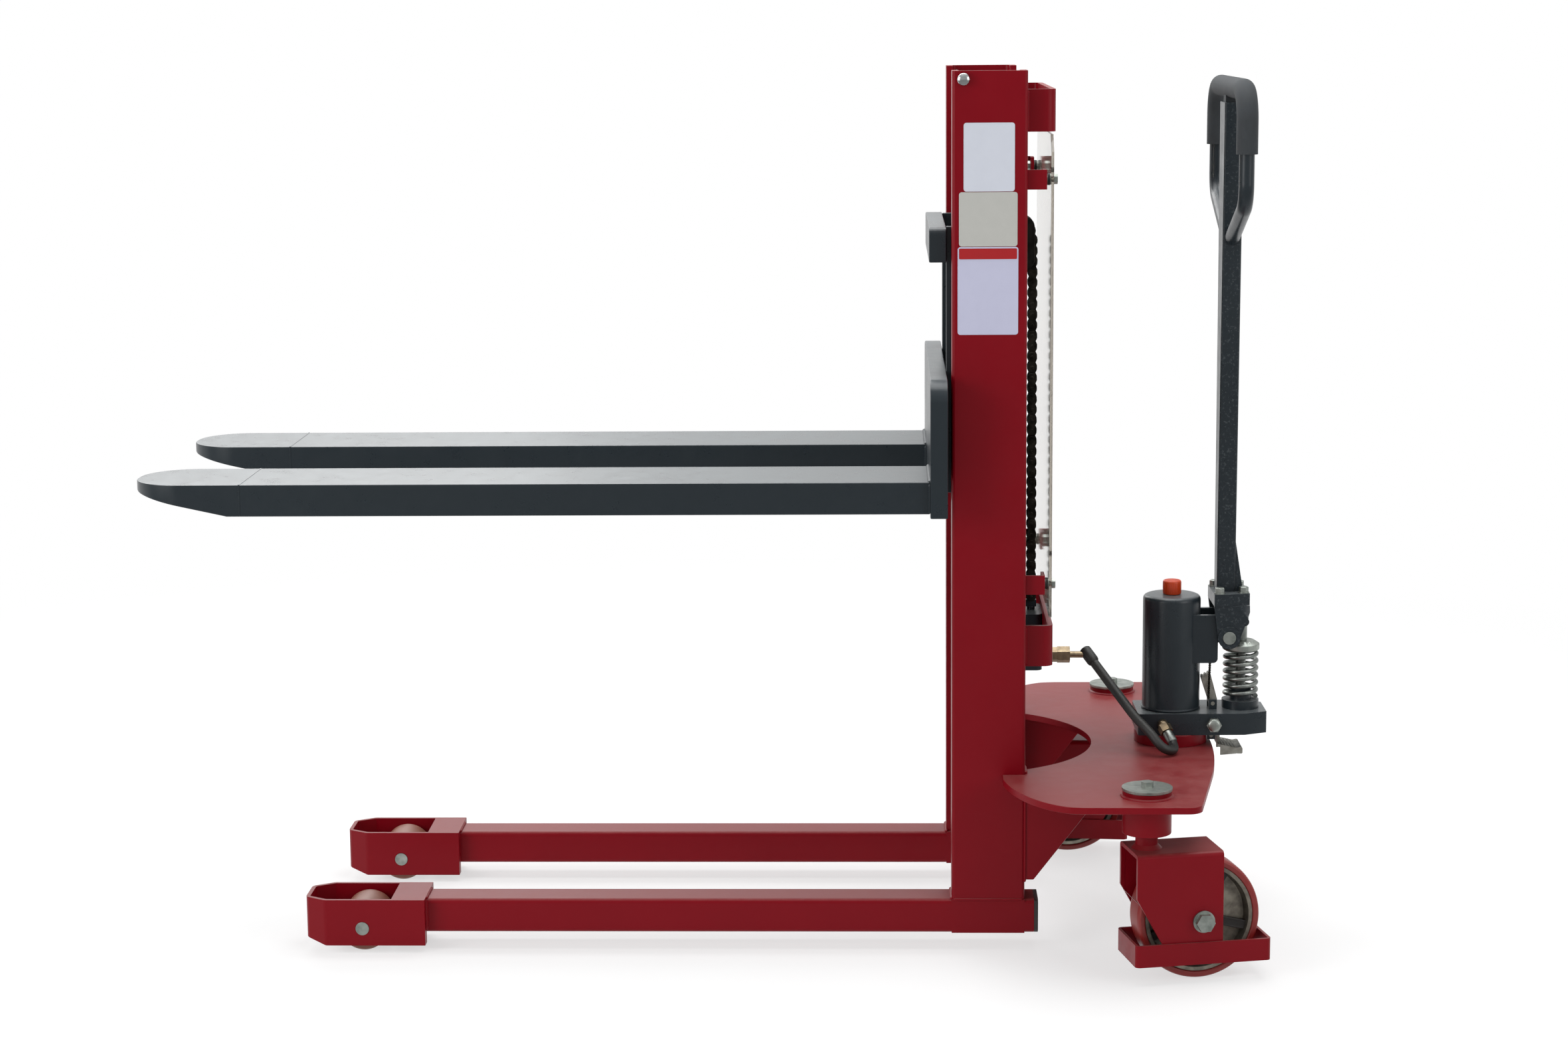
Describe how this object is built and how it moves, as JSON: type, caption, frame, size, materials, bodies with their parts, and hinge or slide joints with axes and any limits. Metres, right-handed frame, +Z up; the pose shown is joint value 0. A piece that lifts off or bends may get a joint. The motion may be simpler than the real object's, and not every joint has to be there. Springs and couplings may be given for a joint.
{
  "type": "hand pallet stacker",
  "caption": "Manual hydraulic stacker: forks on a roller carriage climb a channel mast, raised by a hand pump, ram and chain, on straddle legs with front rollers and swivel casters.",
  "frame": {"origin": "on the floor, under the middle of the machine's length and width", "axes": "+X to the operator's handle, the forks reach to -X; +Y to the machine's right seen from the handle looking at the forks' tips; +Z up"},
  "size_m": [1.662, 0.808, 1.284],
  "materials": {
    "red_paint": "gloss red enamel",
    "dark_paint": "satin blue-grey enamel",
    "zinc_steel": "zinc plated",
    "bare_steel": "turned steel",
    "chromed_ram": "hard chrome",
    "oiled_chain": "oiled dark steel",
    "brass": "machined",
    "black_rubber": "matt",
    "foam_grip": "matt foam",
    "red_tread": "cast polyurethane on a grey hub",
    "roller_nylon": "worn cast nylon",
    "orange_plastic": "moulded",
    "black_plastic": "moulded",
    "clear_sheet": "clear polycarbonate",
    "grey_cast": "as cast"
  },
  "bodies": {
    "chassis": {"mast_channel_left": "red_paint", "mast_channel_right": "red_paint", "rear_braces": "red_paint", "frame_bolts": "zinc_steel", "leg_tube_left": "red_paint", "leg_tube_right": "red_paint", "leg_end_caps": "black_plastic", "roller_housing_left": "red_paint", "roller_housing_right": "red_paint", "front_axle_pins": "zinc_steel", "rear_base_plate": "red_paint", "base_gussets": "red_paint", "plate_bosses": "red_paint", "guard_sheet": "clear_sheet", "cylinder_barrel": "dark_paint", "cylinder_gland": "bare_steel", "cylinder_port_block": "dark_paint", "cylinder_hose_fitting": "brass", "pump_hose_fitting": "brass", "hydraulic_hose": "black_rubber", "pump_block": "dark_paint", "oil_reservoir": "dark_paint", "pivot_bracket": "dark_paint", "pivot_pin": "zinc_steel", "release_chain": "oiled_chain", "chain_rear_strand": "oiled_chain", "plunger_spring": "bare_steel"},
    "ram": {"lift_rod": "chromed_ram", "rod_head": "bare_steel", "chain_wrap": "oiled_chain", "chain_front_strand": "oiled_chain"},
    "pulley": {"chain_pulley": "bare_steel"},
    "carriage": {"carriage_side_plates": "dark_paint", "carriage_upper_bar": "dark_paint", "carriage_lower_plate": "dark_paint", "fork_left": "dark_paint", "fork_right": "dark_paint", "chain_anchor_bar": "dark_paint", "roller_axles": "zinc_steel"},
    "upper_rollers": {"upper_mast_rollers": "bare_steel"},
    "lower_rollers": {"lower_mast_rollers": "bare_steel"},
    "caster_left": {"caster_yoke_left": "red_paint", "caster_bolts_left": "zinc_steel"},
    "caster_right": {"caster_yoke_right": "red_paint", "caster_bolts_right": "zinc_steel"},
    "wheel_left": {"caster_wheel_left": "red_tread"},
    "wheel_right": {"caster_wheel_right": "red_tread"},
    "front_wheel_left": {"front_roller_left": "roller_nylon"},
    "front_wheel_right": {"front_roller_right": "roller_nylon"},
    "handle": {"handle_yoke": "dark_paint", "handle_tube": "dark_paint", "handle_grip": "foam_grip", "flange_bolts": "zinc_steel"},
    "push_roller": {"pump_roller": "zinc_steel"},
    "plunger": {"pump_plunger": "bare_steel", "spring_seat": "zinc_steel"},
    "cap": {"filler_cap": "orange_plastic"},
    "lever": {"release_lever": "grey_cast"},
    "pedal": {"lowering_pedal": "grey_cast"}
  },
  "joints": [
    {"name": "ram_lift", "type": "slide", "parent": "chassis", "child": "ram", "axis": [0, 0, 1], "range_m": [-0.3085, 0.075], "deforming": ["chain_rear_strand"]},
    {"name": "carriage_lift", "type": "slide", "parent": "ram", "child": "carriage", "axis": [0, 0, 1], "range_m": [-0.3085, 0.075], "deforming": ["chain_front_strand"]},
    {"name": "pulley_spin", "type": "hinge", "parent": "ram", "child": "pulley", "pos_m": [0.43498, 0, 1.03], "axis": [0, 1, 0], "continuous": true},
    {"name": "upper_rollers_spin", "type": "hinge", "parent": "carriage", "child": "upper_rollers", "pos_m": [0.40448, 0, 1.01], "axis": [0, 1, 0], "continuous": true},
    {"name": "lower_rollers_spin", "type": "hinge", "parent": "carriage", "child": "lower_rollers", "pos_m": [0.40448, 0, 0.76], "axis": [0, 1, 0], "continuous": true},
    {"name": "caster_swivel_left", "type": "hinge", "parent": "chassis", "child": "caster_left", "pos_m": [0.62498, -0.338, 0.213], "axis": [0, 0, 1], "continuous": true},
    {"name": "caster_wheel_spin_left", "type": "hinge", "parent": "caster_left", "child": "wheel_left", "pos_m": [0.69541, -0.32303, 0.09], "axis": [-0.2079, 0.9781, 0], "continuous": true},
    {"name": "caster_swivel_right", "type": "hinge", "parent": "chassis", "child": "caster_right", "pos_m": [0.62498, 0.338, 0.213], "axis": [0, 0, 1], "continuous": true},
    {"name": "caster_wheel_spin_right", "type": "hinge", "parent": "caster_right", "child": "wheel_right", "pos_m": [0.55326, 0.34427, 0.09], "axis": [-0.0872, -0.9962, 0], "continuous": true},
    {"name": "front_roller_spin_left", "type": "hinge", "parent": "chassis", "child": "front_wheel_left", "pos_m": [-0.51902, -0.186, 0.037], "axis": [0, 1, 0], "continuous": true},
    {"name": "front_roller_spin_right", "type": "hinge", "parent": "chassis", "child": "front_wheel_right", "pos_m": [-0.51902, 0.186, 0.037], "axis": [0, 1, 0], "continuous": true},
    {"name": "handle_pivot", "type": "hinge", "parent": "chassis", "child": "handle", "pos_m": [0.77147, 0.00144, 0.432], "axis": [-0.0175, 0.9998, 0], "range_deg": [0, 55], "stiffness_Nm_per_rad": 25, "springref_deg": -5.73},
    {"name": "push_roller_spin", "type": "hinge", "parent": "handle", "child": "push_roller", "pos_m": [0.79546, 0.00186, 0.455], "axis": [-0.0175, 0.9998, 0], "continuous": true},
    {"name": "plunger_stroke", "type": "slide", "parent": "chassis", "child": "plunger", "axis": [0, 0, -1], "range_m": [0, 0.0302], "deforming": ["plunger_spring"]},
    {"name": "filler_cap_turn", "type": "hinge", "parent": "chassis", "child": "cap", "pos_m": [0.68898, 0, 0.4925], "axis": [0, 0, 1], "continuous": true},
    {"name": "pedal_press", "type": "hinge", "parent": "chassis", "child": "pedal", "pos_m": [0.74897, 0.00105, 0.277], "axis": [-0.0175, 0.9998, 0], "range_deg": [0, 8], "stiffness_Nm_per_rad": 3, "springref_deg": -5.73},
    {"name": "lever_release", "type": "hinge", "parent": "chassis", "child": "lever", "pos_m": [0.75097, 0.00108, 0.326], "axis": [-0.0175, 0.9998, 0], "range_deg": [0, 8]}
  ],
  "couplings": [
    {"joint": "carriage_lift", "follows": "ram_lift", "ratio": 1},
    {"joint": "pulley_spin", "follows": "ram_lift", "rad_per_m": 24.578},
    {"joint": "upper_rollers_spin", "follows": "ram_lift", "rad_per_m": -46.404},
    {"joint": "lower_rollers_spin", "follows": "ram_lift", "rad_per_m": 46.404},
    {"joint": "plunger_stroke", "follows": "handle_pivot", "m_per_rad": 0.031},
    {"joint": "lever_release", "follows": "pedal_press", "ratio": 1}
  ]
}
